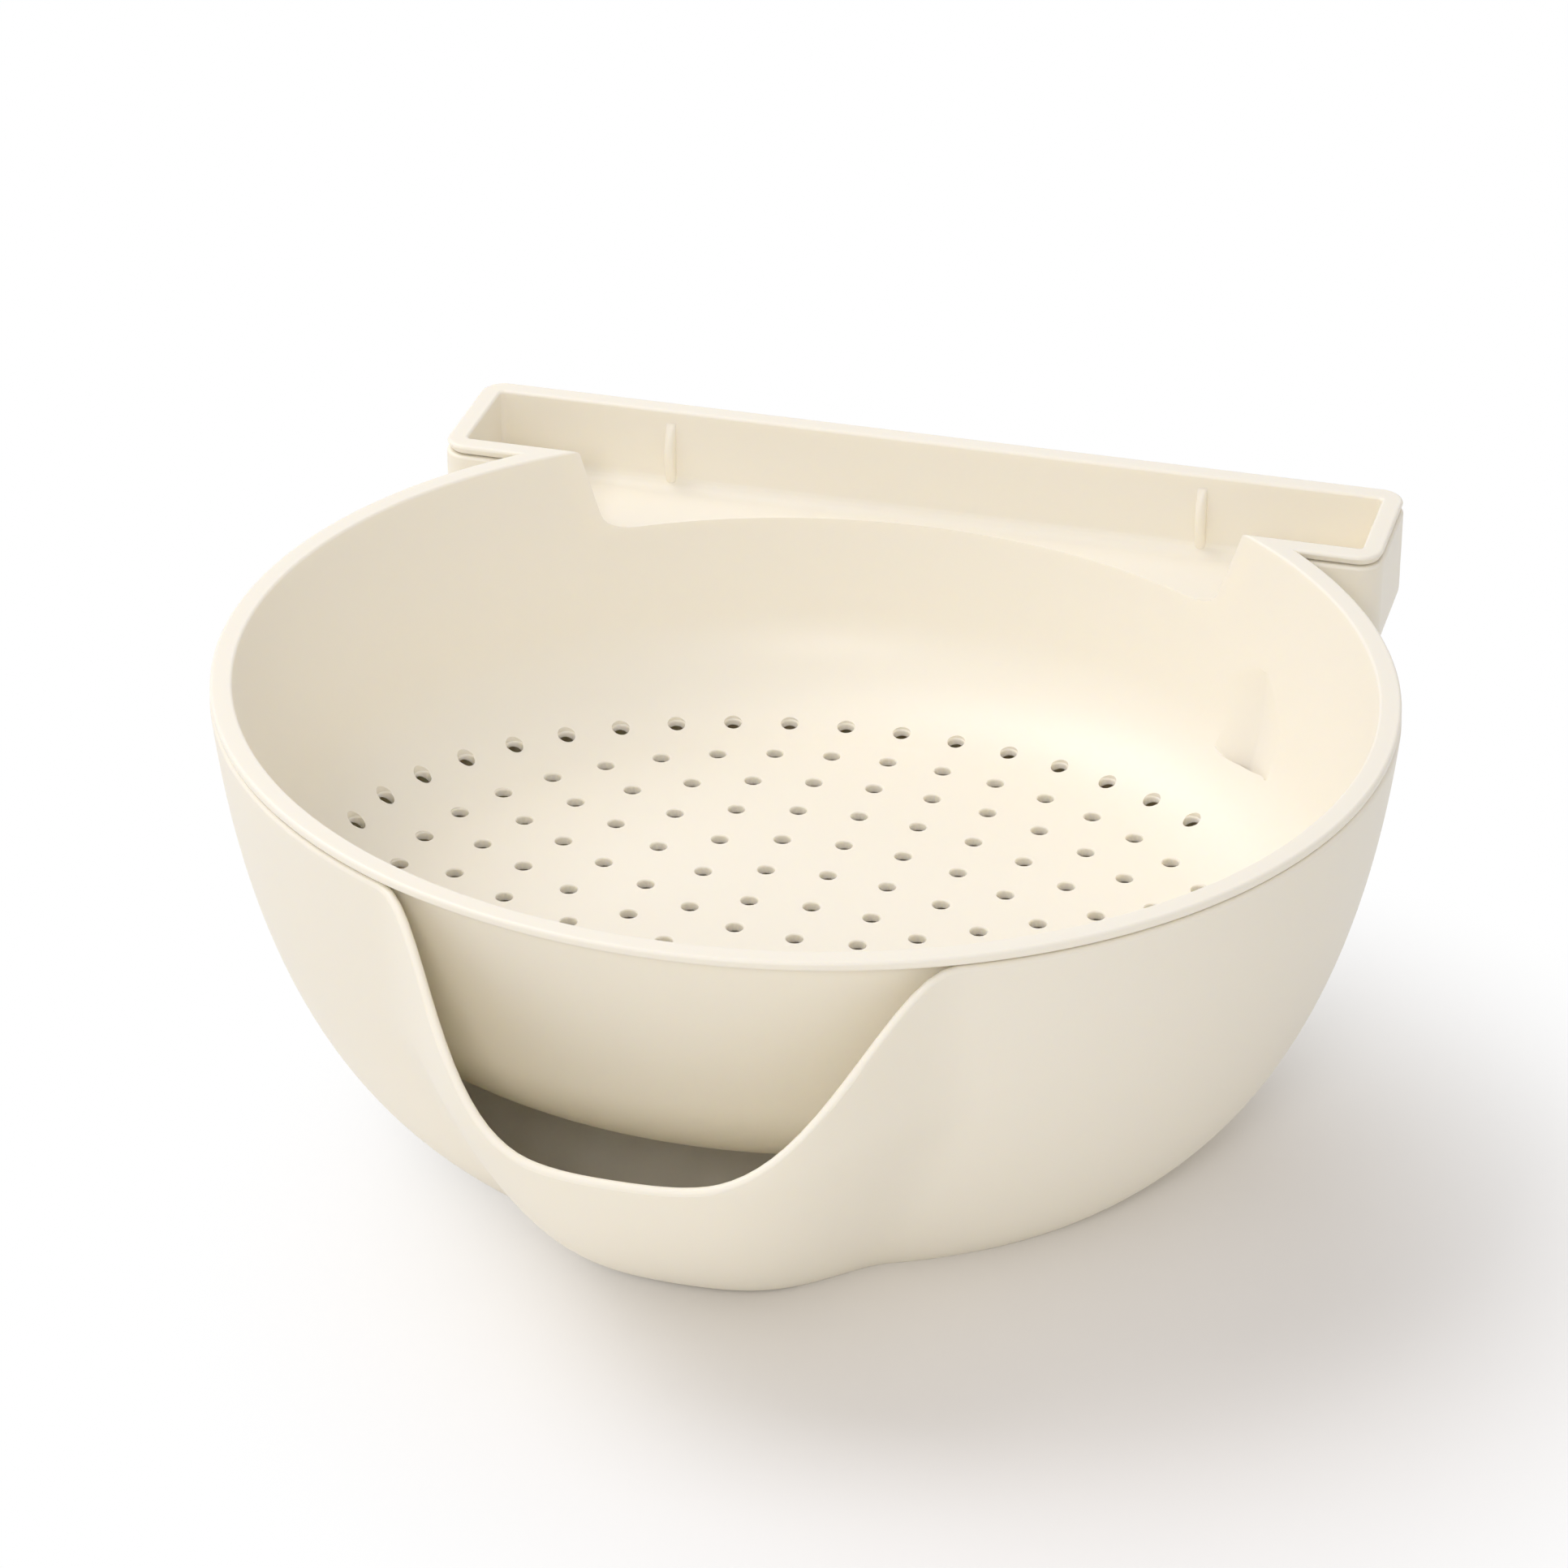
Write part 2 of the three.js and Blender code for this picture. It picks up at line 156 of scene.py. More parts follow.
def bowl_half(z, inset):
    """Half width of the bowl at a height, moved in along the normal of the side curve."""
    across = side_curve[:, 0] - inset * along[:, 1]
    height = side_curve[:, 1] + inset * along[:, 0]
    return np.interp(z, height, across)

# %% Spout and lip
SPOUT_REACH = 27.25 * MM
SPOUT_BASE_REACH = 10 * MM
SPOUT_HALF_TOP = 56 * MM
SPOUT_HALF_BASE = 36 * MM
SPOUT_FULLNESS = 1.9
LIP_Z = TOP_Z - 36.5 * MM
LIP_HALF = 54.5 * MM
LIP_SHARPNESS = 2


def rounded_step(place, power):
    """Falls smoothly from 1 in the middle to 0 at the edge."""
    return 0.5 * (1 + np.cos(np.pi * np.minimum(1, place) ** power))


def bowl_ring(z, inset):
    """A ring on the outside (inset 0) or inside of the bowl, with the spout drawn out."""
    z = np.broadcast_to(z, turns.shape)
    ring = oval_ring(bowl_half(z, inset), z)
    grown = np.clip(z / LIP_Z, 0, 1)
    half = SPOUT_HALF_BASE + (SPOUT_HALF_TOP - SPOUT_HALF_BASE) * grown - inset / 2
    reach = SPOUT_BASE_REACH + (SPOUT_REACH - SPOUT_BASE_REACH) * grown
    swell = reach * rounded_step(np.abs(ring[:, 0]) / half, SPOUT_FULLNESS)
    ring[:, 1] -= np.where(ring[:, 1] < 0, swell, 0)
    return ring


rim_height = np.full(ROUND_STEPS, BOWL_TOP)
for _ in range(6):
    rim_x = np.abs(bowl_half(rim_height, 0) * np.cos(turns))
    dip = (BOWL_TOP - LIP_Z) * rounded_step(rim_x / LIP_HALF, LIP_SHARPNESS)
    rim_height = np.where(np.sin(turns) < 0, BOWL_TOP - dip, BOWL_TOP)
print("lip drops", round((BOWL_TOP - rim_height.min()) / MM, 1), "mm below the rim")

# %% Skin of the bowl
def bead(outer, inner, steps):
    """Rings of a round bead that joins the two faces of a wall along its top."""
    middle = (outer + inner) / 2
    across = (outer - inner) / 2
    run = np.roll(middle, -1, axis=0) - np.roll(middle, 1, axis=0)
    rise = np.cross(across, run)
    rise /= np.linalg.norm(rise, axis=1, keepdims=True)
    rise *= np.linalg.norm(across, axis=1, keepdims=True)
    rise *= np.sign(rise[:, 2:3])
    return [middle + across * np.cos(a) + rise * np.sin(a) for a in arc(0, 180, steps)]


UNDER_SHARES = (0.3, 0.6, 0.85, 0.97)
FLOOR_SHARES = (1, 0.8, 0.5, 0.25)
FLOOR_ROUND = 5 * MM
FLOOR_EDGE_IN = 3 * MM
CORNER_SINK = 0.9 * MM
wall_top = rim_height - BOWL_WALL / 2
climb = np.linspace(0, 1, 40) ** 1.25
base_edge = bowl_ring(0, 0)
under = [base_edge * f for f in UNDER_SHARES]
outside = [bowl_ring(c * wall_top, 0) for c in climb]
wall_foot = BOWL_FLOOR + FLOOR_ROUND
inside = [bowl_ring(wall_foot + c * (wall_top - wall_foot), BOWL_WALL) for c in climb[::-1]]
floor_edge = bowl_ring(BOWL_FLOOR, BOWL_WALL)
floor_edge[:, :2] *= 1 - FLOOR_EDGE_IN / BASE_HALF_X
corner_ring = (floor_edge + inside[-1]) / 2 - np.array([0, 0, CORNER_SINK])
floor_middle = np.array([0, 0, BOWL_FLOOR])
floor = [floor_middle + (floor_edge - floor_middle) * f for f in FLOOR_SHARES]
rings = under + outside + bead(outside[-1], inside[0], 8)[1:-1] + inside + [corner_ring] + floor
bowl = skin_of_rings("cream_bowl", rings, (0, 0, 0), floor_middle)
print("bowl skin has", len(bowl.data.polygons), "faces")

# %% [markdown]
# ## Ears and the straight back
# Along the back both pieces carry one long box with rounded corners. Its ends stand out past the oval
# as two ears, and its inside opens into the bowl as a shelf. A box is a stack of rounded rectangles,
# so it uses the same ring skin, and giving each layer its own inset rounds the edges of the mould.
# The box is joined to the oval and hollowed with booleans, because the two forms meet along lines
# that no ring could follow.

# %% Boxes for the ears
EAR_HALF_X = 99.5 * MM
EAR_FRONT_Y = 76 * MM
EAR_CORNER = 5 * MM
EAR_LEAST_CORNER = 1.2 * MM
SHELF_Z = TOP_Z - 18 * MM
SHELF_ROUND = 3.5 * MM
NEST_GAP = 0.5 * MM


def ear_ring(inset, z):
    """A rounded rectangle from ear to ear, moved in by an inset from the flange edge."""
    x, y0, y1 = EAR_HALF_X - inset, EAR_FRONT_Y + inset, FLANGE_HALF_Y - inset
    r = max(EAR_LEAST_CORNER, EAR_CORNER - inset)
    corners = [(x - r, y0 + r, -90), (x - r, y1 - r, 0), (r - x, y1 - r, 90), (r - x, y0 + r, 180)]
    points = []
    for cx, cy, first in corners:
        for a in arc(first, first + 90, 8):
            points.append((cx + r * math.cos(a), cy + r * math.sin(a), z))
    return np.array(points)


def ear_box(name, layers):
    """A closed box from (inset, height) layers, bottom first."""
    return skin_of_rings(name, [ear_ring(inset, z) for inset, z in layers])


def rounded_bottom(inset, z, radius):
    """Layers that turn from a flat underside into an upright wall."""
    return [(inset + radius * (1 - math.sin(a)), z + radius * (1 - math.cos(a))) for a in arc(0, 90, 6)]


def rounded_top(inset, z, radius):
    """Layers that turn from an upright wall into a flat top; a negative radius flares outward."""
    size = abs(radius)
    return [(inset + radius * (1 - math.cos(a)), z - size * (1 - math.sin(a))) for a in arc(0, 90, 4)]

# %% Boolean joins and cuts
def work(target, tool, how):
    """Applies one boolean to target and removes the tool."""
    cut = target.modifiers.new(how, "BOOLEAN")
    cut.operation = how
    cut.solver = "MANIFOLD"
    cut.object = tool
    bpy.context.view_layer.update()
    shaped = target.evaluated_get(bpy.context.evaluated_depsgraph_get())
    mesh = bpy.data.meshes.new_from_object(shaped)
    target.modifiers.clear()
    old = target.data
    target.data = mesh
    bpy.data.meshes.remove(old)
    bpy.data.objects.remove(tool)

# %% Ears of the bowl
BOWL_EAR_ROUND = 2.5 * MM
BOWL_HOLLOW_ROUND = 2 * MM
CORE_FOOT_Z = 20 * MM
bowl_inset = FLANGE_WIDTH - COLANDER_WALL - NEST_GAP
bowl_skin = bowl_inset - BOWL_WALL
bowl_shelf = SHELF_Z - COLANDER_WALL - NEST_GAP
bowl_under = bowl_shelf - BOWL_WALL
ears = ear_box("bowl_ears", rounded_bottom(bowl_skin, bowl_under, BOWL_EAR_ROUND)
               + rounded_top(bowl_skin, BOWL_TOP, EDGE_ROUND))
core_heights = np.linspace(CORE_FOOT_Z, TOP_Z, 20)
core = skin_of_rings("bowl_core", [bowl_ring(z, BOWL_WALL / 2) for z in core_heights])
work(ears, core, "DIFFERENCE")
work(bowl, ears, "UNION")
hollow = ear_box("bowl_ear_hollow", rounded_bottom(bowl_inset, bowl_shelf, BOWL_HOLLOW_ROUND)
                 + rounded_top(bowl_inset, BOWL_TOP, -EDGE_ROUND)
                 + [(bowl_inset - EDGE_ROUND, CUT_TOP_Z)])
work(bowl, hollow, "DIFFERENCE")
print("bowl with ears has", len(bowl.data.polygons), "faces")

# %% [markdown]
# ## The colander
# The colander is an oval cup with a thin flange. Its wall runs into the floor in one wide round, which
# is what gives the soft gradient inside. The ring skin makes this cup in one go, with a small round on
# each edge of the flange.

# %% Skin of the colander
def cup_half(z, inset):
    """Half width of the straight part of the colander's wall."""
    return FLANGE_HALF_X - inset - COLANDER_SLOPE * (TOP_Z - z)


def cup_round(inset, floor_z, radius, steps):
    """(half width, height) pairs of the wide round from the floor up to the wall."""
    bend = math.pi / 2 - math.atan(COLANDER_SLOPE)
    start = cup_half(floor_z, inset) - radius * math.tan(bend / 2)
    angles = np.linspace(0, bend, steps + 1)
    return [(start + radius * math.sin(a), floor_z + radius * (1 - math.cos(a))) for a in angles]


def rounded_corner(half, z, radius, first, last):
    """(half width, height) pairs of a small edge round about a centre."""
    return [(half + radius * math.cos(a), z + radius * math.sin(a)) for a in arc(first, last, 5)]


outer_inset = FLANGE_WIDTH - COLANDER_WALL
outer_round = cup_round(outer_inset, COLANDER_UNDER_Z, FLOOR_FILLET + COLANDER_WALL, 24)
inner_round = cup_round(FLANGE_WIDTH, COLANDER_FLOOR_Z, FLOOR_FILLET, 24)
flange_z = TOP_Z - FLANGE_THICK
outer_foot, inner_foot = outer_round[-1][1], inner_round[-1][1]
outer_wall = [(cup_half(z, outer_inset), z) for z in np.linspace(outer_foot, flange_z, 20)[1:]]
inner_top = TOP_Z - EDGE_ROUND
inner_wall = [(cup_half(z, FLANGE_WIDTH), z) for z in np.linspace(inner_top, inner_foot, 26)[:-1]]
flange_edge = (rounded_corner(FLANGE_HALF_X - EDGE_ROUND, flange_z + EDGE_ROUND, EDGE_ROUND, -90, 0)
               + rounded_corner(FLANGE_HALF_X - EDGE_ROUND, TOP_Z - EDGE_ROUND, EDGE_ROUND, 0, 90))
lip_half = inner_wall[0][0] + EDGE_ROUND
inner_edge = rounded_corner(lip_half, inner_top, EDGE_ROUND, 90, 180)[:-1]
flat_steps = (0.35, 0.7, 0.9)
under_flat = [(outer_round[0][0] * f, COLANDER_UNDER_Z) for f in flat_steps]
floor_flat = [(inner_round[0][0] * f, COLANDER_FLOOR_Z) for f in flat_steps[::-1]]
section = (under_flat + outer_round + outer_wall + flange_edge + inner_edge
           + inner_wall + inner_round[::-1] + floor_flat)
colander = skin_of_rings("cream_colander", [oval_ring(h, z) for h, z in section],
                         (0, 0, COLANDER_UNDER_Z), (0, 0, COLANDER_FLOOR_Z))
print("colander skin has", len(colander.data.polygons), "faces")

# %% Ears of the colander
COLANDER_EAR_ROUND = 2 * MM
PLATE_LAP = 0.5 * MM


def cup_core():
    """A solid that ends half way through the colander's wall and floor."""
    inset = FLANGE_WIDTH - COLANDER_WALL / 2
    middle_z = (COLANDER_FLOOR_Z + COLANDER_UNDER_Z) / 2
    middle = cup_round(inset, middle_z, FLOOR_FILLET + COLANDER_WALL / 2, 24)
    middle += [(cup_half(z, inset), z) for z in np.linspace(middle[-1][1], CUT_TOP_Z, 16)[1:]]
    return skin_of_rings("cup_core", [oval_ring(h, z) for h, z in middle])


ears = ear_box("colander_ears", rounded_bottom(outer_inset, SHELF_Z - COLANDER_WALL, COLANDER_EAR_ROUND)
               + [(outer_inset, flange_z + PLATE_LAP)])
plate = ear_box("ear_flange", [(EDGE_ROUND, flange_z)] + rounded_top(0, TOP_Z, EDGE_ROUND))
work(ears, plate, "UNION")
work(ears, cup_core(), "DIFFERENCE")
work(colander, ears, "UNION")
hollow = ear_box("ear_hollow", rounded_bottom(FLANGE_WIDTH, SHELF_Z, SHELF_ROUND)
                 + rounded_top(FLANGE_WIDTH, TOP_Z, -EDGE_ROUND)
                 + [(FLANGE_WIDTH - EDGE_ROUND, CUT_TOP_Z)])
work(colander, hollow, "DIFFERENCE")
print("colander with ears has", len(colander.data.polygons), "faces")

# %% [markdown]
# ## Thumb pocket
# Low on the right wall there is a pocket for a thumb: two upright faces that meet in a crease and drop
# behind the floor round. It is cut with a wedge, and the same wedge a wall thicker is joined on first,
# so the pocket keeps a wall behind it. Sculpting the cup's own points would blur the clean outline.

# %% Pocket wedge
POCKET_TURN = math.radians(40.35)
POCKET_REACH = FLANGE_HALF_X - 12.2 * MM
POCKET_TOP_Z = TOP_Z - 24 * MM
POCKET_HEIGHT = 23 * MM
POCKET_LEFT, POCKET_RIGHT = 13.2 * MM, 26 * MM
POCKET_BEND = 3.2 * MM
LEFT_FOLD, LEFT_FOLD_GAIN, RIGHT_FOLD = 0.2, 0.14, 0.12
LEFT_CLIMB, RIGHT_CLIMB = 6 * MM, 10 * MM
THROAT_SIDE = np.array([-26, -11.7, 0, 13.2]) * MM
THROAT_OUT = np.array([-3.9, -3.9, -5.3, -7.5]) * MM
THROAT_LEAST = 0.3 * MM
POCKET_WALL = 0.8 * MM


def pocket_wedge(name, skin):
    """The pocket's hollow, or its outside when a skin is given."""
    face_side = np.concatenate([np.linspace(-POCKET_RIGHT, 0, 20), np.linspace(0, POCKET_LEFT, 16)[1:]])
    side = np.concatenate([face_side, face_side[::-1]])
    on_face = np.arange(len(side)) < len(face_side)
    throat = np.interp(side, THROAT_SIDE, THROAT_OUT)
    climb = np.where(side > 0, LEFT_CLIMB * (side / POCKET_LEFT) ** 2, -RIGHT_CLIMB * side / POCKET_RIGHT)
    rings = []
    for below in np.linspace(POCKET_HEIGHT + skin, 0, 16):
        share = below / POCKET_HEIGHT
        fold = np.where(side > 0, LEFT_FOLD + LEFT_FOLD_GAIN * share, RIGHT_FOLD)
        face = -fold * np.abs(side) - POCKET_BEND * share ** 2
        inner = np.minimum(throat, face - THROAT_LEAST) - 2 * skin
        out = POCKET_REACH + np.where(on_face, face + skin, inner)
        rise = climb * share ** 2
        rings.append(np.stack([
            out * math.cos(POCKET_TURN) - side * math.sin(POCKET_TURN),
            out * math.sin(POCKET_TURN) + side * math.cos(POCKET_TURN),
            POCKET_TOP_Z - below + rise,
        ], axis=1))
    return skin_of_rings(name, rings)


shell = pocket_wedge("pocket_shell", POCKET_WALL)
work(shell, cup_core(), "DIFFERENCE")
work(colander, shell, "UNION")
work(colander, pocket_wedge("pocket_hollow", 0), "DIFFERENCE")
print("colander with its pocket has", len(colander.data.polygons), "faces")

# %% [markdown]
# ## Drain holes and ribs
# The holes lie on oval rings round a blank middle. An array on a curve would do for one ring, but the
# count changes from ring to ring, so a loop spreads each ring's holes by length. The last ring leaves
# a stretch near the pocket blank. Every cutter is a little funnel: its mouth is wider than its shank,
# which leaves the soft edge a moulded hole has.

# %% Drain holes
HOLES_IN_RING = [8, 14, 20, 26, 32, 40, 46]
FIRST_RING = np.array([23.5, 6.4]) * MM
RING_PITCH = np.array([13, 12.95]) * MM
RING_CLOSING = 0.15 * MM
HOLE_RADIUS = 1.7 * MM
HOLE_SIDES = 20
BLANK_FROM, BLANK_TO = 12, 35
HOLE_LAYERS = [(1, -7 * MM), (1, -0.4 * MM), (1.06, -0.12 * MM), (1.15, 0.02 * MM), (1.15, 6 * MM)]


def floor_height(x, y):
    """Height of the colander's inside at a place on the floor or on the wide round."""
    half = math.hypot(x, y / (1 - OVAL_DIFFERENCE / BASE_HALF_X))
    if half > BASE_HALF_X:
        flat = math.atan2(y / FLANGE_HALF_Y, x / FLANGE_HALF_X)
        half = math.hypot(x, y + OVAL_DIFFERENCE * math.sin(flat))
    past = max(0, half - inner_round[0][0])
    return COLANDER_FLOOR_Z + FLOOR_FILLET - math.sqrt(max(0, FLOOR_FILLET ** 2 - past ** 2))


def ring_places(half_x, half_y, count):
    """Points spread by equal length along an oval, the first one straight behind the middle."""
    a = np.linspace(math.pi / 2, math.pi * 2.5, 2001)
    line = np.stack([half_x * np.cos(a), half_y * np.sin(a)], axis=1)
    walked = np.concatenate([[0], np.cumsum(np.linalg.norm(np.diff(line, axis=0), axis=1))])
    stops = np.linspace(0, walked[-1], count, endpoint=False)
    return np.stack([np.interp(stops, walked, line[:, 0]), np.interp(stops, walked, line[:, 1])], axis=1)


def hole_cutters():
    """One mesh with a funnel for every hole."""
    vertices, faces = [], []
    around = arc(0, 360, HOLE_SIDES)[:-1]
    for number, count in enumerate(HOLES_IN_RING):
        half_x, half_y = FIRST_RING + RING_PITCH * number - RING_CLOSING * number ** 2
        for x, y in ring_places(half_x, half_y, count):
            turn = math.degrees(math.atan2(y, x))
            if number == len(HOLES_IN_RING) - 1 and BLANK_FROM < turn < BLANK_TO:
                continue
            z = floor_height(x, y)
            base = len(vertices)
            for wide, rise in HOLE_LAYERS:
                radius = HOLE_RADIUS * wide
                for a in around:
                    vertices.append((x + radius * math.cos(a), y + radius * math.sin(a), z + rise))
            for layer in range(len(HOLE_LAYERS) - 1):
                low = base + layer * HOLE_SIDES
                for i in range(HOLE_SIDES):
                    j = (i + 1) % HOLE_SIDES
                    faces.append((low + i, low + j, low + HOLE_SIDES + j, low + HOLE_SIDES + i))
            top = base + (len(HOLE_LAYERS) - 1) * HOLE_SIDES
            faces.append([base + i for i in reversed(range(HOLE_SIDES))])
            faces.append([top + i for i in range(HOLE_SIDES)])
    mesh = bpy.data.meshes.new("hole_cutters")
    mesh.from_pydata(vertices, [], faces)
    made = bpy.data.objects.new("hole_cutters", mesh)
    bpy.context.scene.collection.objects.link(made)
    return made


cutters = hole_cutters()
hole_count = len(cutters.data.polygons) // (4 * HOLE_SIDES + 2)
work(colander, cutters, "DIFFERENCE")
print("drain holes:", hole_count)

# %% Ribs on the back wall
RIB_X = 57.5 * MM
RIB_HALF = 1.1 * MM
RIB_RISE = 2.8 * MM
RIB_TOP_Z = TOP_Z - 2.2 * MM
RIB_SUNK_FOOT, RIB_SUNK_END, RIB_SUNK_BACK = 0.4 * MM, 0.25 * MM, 0.6 * MM


def rib(x):
    """A lens-shaped fin that stands out most half way up."""
    wall_y = FLANGE_HALF_Y - FLANGE_WIDTH
    heights = np.linspace(SHELF_Z - RIB_SUNK_FOOT, RIB_TOP_Z, 17)
    middle = (heights[0] + heights[-1]) / 2
    half = (heights[-1] - heights[0]) / 2
    rings = []
    for z in heights:
        rise = RIB_RISE * (1 - ((z - middle) / half) ** 2) - RIB_SUNK_END
        flank_y = wall_y - max(0, rise - RIB_HALF)
        nose = min(rise, RIB_HALF)
        back_y = wall_y + RIB_SUNK_BACK
        ring = [(x + RIB_HALF, back_y, z), (x - RIB_HALF, back_y, z)]
        ring += [(x + RIB_HALF * math.cos(a), flank_y + nose * math.sin(a), z) for a in arc(180, 360, 8)]
        rings.append(np.array(ring))
    return skin_of_rings("back_rib", rings)


for side in (-1, 1):
    work(colander, rib(side * RIB_X), "UNION")
print("colander finished with", len(colander.data.polygons), "faces")

# %% [markdown]
# ## Smooth shading and riding on the bodies
# Shading is smooth everywhere except along edges that turn sharply, so the rounded rims catch a soft
# line of light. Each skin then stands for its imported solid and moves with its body.

# %% Shade, ride and replace
for piece, body, node, finish in (
    (bowl, "bowl", "outer_bowl", "bowl_plastic"),
    (colander, "strainer", "colander", "colander_plastic"),
):
    piece.data.shade_smooth()
    piece.data.set_sharp_from_angle(angle=math.radians(38))
    even = piece.modifiers.new("even_normals", "WEIGHTED_NORMAL")
    even.keep_sharp = True
    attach(piece, body)
    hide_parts(node)
    print(piece.name, "rides on", body)

# %% [markdown]
# ## Cream plastic
# The plastic is a satin cream polypropylene. It isn't one flat colour: the mould leaves a very fine
# grain, faint flow clouds where the melt met, and slightly duller patches from handling. A node group
# makes those masks once, and each material uses them with its own strength. A little light also
# travels inside the thin walls, which warms the hollows, so the shader has some subsurface scattering.

# %% Node group for moulded plastic
def moulded_group():
    """Colour, roughness and height of a moulded plastic skin."""
    group = bpy.data.node_groups.new("moulded_plastic", "ShaderNodeTree")
    face = group.interface
    for name, kind, value in (
        ("Colour", "NodeSocketColor", (0.8, 0.8, 0.8, 1)),
        ("Cloud Colour", "NodeSocketColor", (0.7, 0.7, 0.7, 1)),
        ("Gloss", "NodeSocketFloat", 0.4),
        ("Grain", "NodeSocketFloat", 1800.0),
    ):
        face.new_socket(name=name, in_out="INPUT", socket_type=kind).default_value = value
    for name, kind in (
        ("Colour", "NodeSocketColor"),
        ("Roughness", "NodeSocketFloat"),
        ("Height", "NodeSocketFloat"),
    ):
        face.new_socket(name=name, in_out="OUTPUT", socket_type=kind)
    nodes, links = group.nodes, group.links
    given = nodes.new("NodeGroupInput")
    result = nodes.new("NodeGroupOutput")
    place = nodes.new("ShaderNodeTexCoord")
    clouds = nodes.new("ShaderNodeTexNoise")
    clouds.inputs["Scale"].default_value = 14
    clouds.inputs["Detail"].default_value = 3
    grain = nodes.new("ShaderNodeTexNoise")
    grain.inputs["Detail"].default_value = 2
    tint = nodes.new("ShaderNodeMix")
    tint.data_type = "RGBA"
    dull = nodes.new("ShaderNodeMapRange")
    dull.inputs["To Min"].default_value = -0.05
    dull.inputs["To Max"].default_value = 0.05
    add = nodes.new("ShaderNodeMath")
    links.new(place.outputs["Object"], clouds.inputs["Vector"])
    links.new(place.outputs["Object"], grain.inputs["Vector"])
    links.new(given.outputs["Grain"], grain.inputs["Scale"])
    links.new(clouds.outputs["Fac"], tint.inputs["Factor"])
    links.new(given.outputs["Colour"], tint.inputs["A"])
    links.new(given.outputs["Cloud Colour"], tint.inputs["B"])
    links.new(tint.outputs["Result"], result.inputs["Colour"])
    links.new(clouds.outputs["Fac"], dull.inputs["Value"])
    links.new(given.outputs["Gloss"], add.inputs[0])
    links.new(dull.outputs["Result"], add.inputs[1])
    links.new(add.outputs["Value"], result.inputs["Roughness"])
    links.new(grain.outputs["Fac"], result.inputs["Height"])
    return group


moulded = moulded_group()
print("group sockets:", [s.name for s in moulded.interface.items_tree])

# %% Materials of the two pieces
def cream_plastic(name, colour, cloud, gloss):
    """A satin cream plastic with grain, flow clouds and a little light inside the wall."""
    material = bpy.data.materials.new(name)
    material.use_nodes = True
    nodes, links = material.node_tree.nodes, material.node_tree.links
    shader = nodes["Principled BSDF"]
    shader.inputs["Subsurface Weight"].default_value = 0.25
    shader.inputs["Subsurface Radius"].default_value = (1.0, 0.85, 0.5)
    shader.inputs["Subsurface Scale"].default_value = 2 * MM
    shader.inputs["IOR"].default_value = 1.49
    skin = nodes.new("ShaderNodeGroup")
    skin.node_tree = moulded
    skin.inputs["Colour"].default_value = (*colour, 1)
    skin.inputs["Cloud Colour"].default_value = (*cloud, 1)
    skin.inputs["Gloss"].default_value = gloss
    bump = nodes.new("ShaderNodeBump")
    bump.inputs["Strength"].default_value = 0.04
    bump.inputs["Distance"].default_value = 0.1 * MM
    links.new(skin.outputs["Colour"], shader.inputs["Base Color"])
    links.new(skin.outputs["Roughness"], shader.inputs["Roughness"])
    links.new(skin.outputs["Height"], bump.inputs["Height"])
    links.new(bump.outputs["Normal"], shader.inputs["Normal"])
    return material


bowl_cream = cream_plastic("bowl_cream", (0.96, 0.905, 0.775), (0.95, 0.89, 0.75), 0.42)
colander_cream = cream_plastic("colander_cream", (0.965, 0.912, 0.79), (0.955, 0.897, 0.765), 0.38)
for piece, plastic in ((bowl, bowl_cream), (colander, colander_cream)):
    piece.data.materials.clear()
    piece.data.materials.append(plastic)
print("materials:", [m.name for m in bpy.data.materials])

# %% [markdown]
# ## Table, light and camera
# The picture has a white sweep: pure white behind, faintly warm in front, and one soft shadow to the
# right of the bowl. The floor is a plain pale plane. Far from the bowl it fades to white for the
# camera only, so the white doesn't throw extra light on the bowl. A large soft lamp stands high on the
# left like a window, a weak one in front reaches into the spout, and a pale world fills the shade. The
# world too is plain white to the camera, so a low view has no grey strip above the table's far edge.

# %% What the camera sees
def seen_by_camera(nodes, links):
    """1 for what the camera sees straight on or in a reflection, and 0 for all other light."""
    path = nodes.new("ShaderNodeLightPath")
    seen = nodes.new("ShaderNodeMath")
    seen.operation = "MAXIMUM"
    links.new(path.outputs["Is Camera Ray"], seen.inputs[0])
    links.new(path.outputs["Is Glossy Ray"], seen.inputs[1])
    return seen.outputs["Value"]

# %% Floor
FADE_FROM, FADE_TO = 0.05, 0.165
FLOOR_HALF = 6.0
FLOOR_CENTRE = Vector((0.06, -0.06, 0))


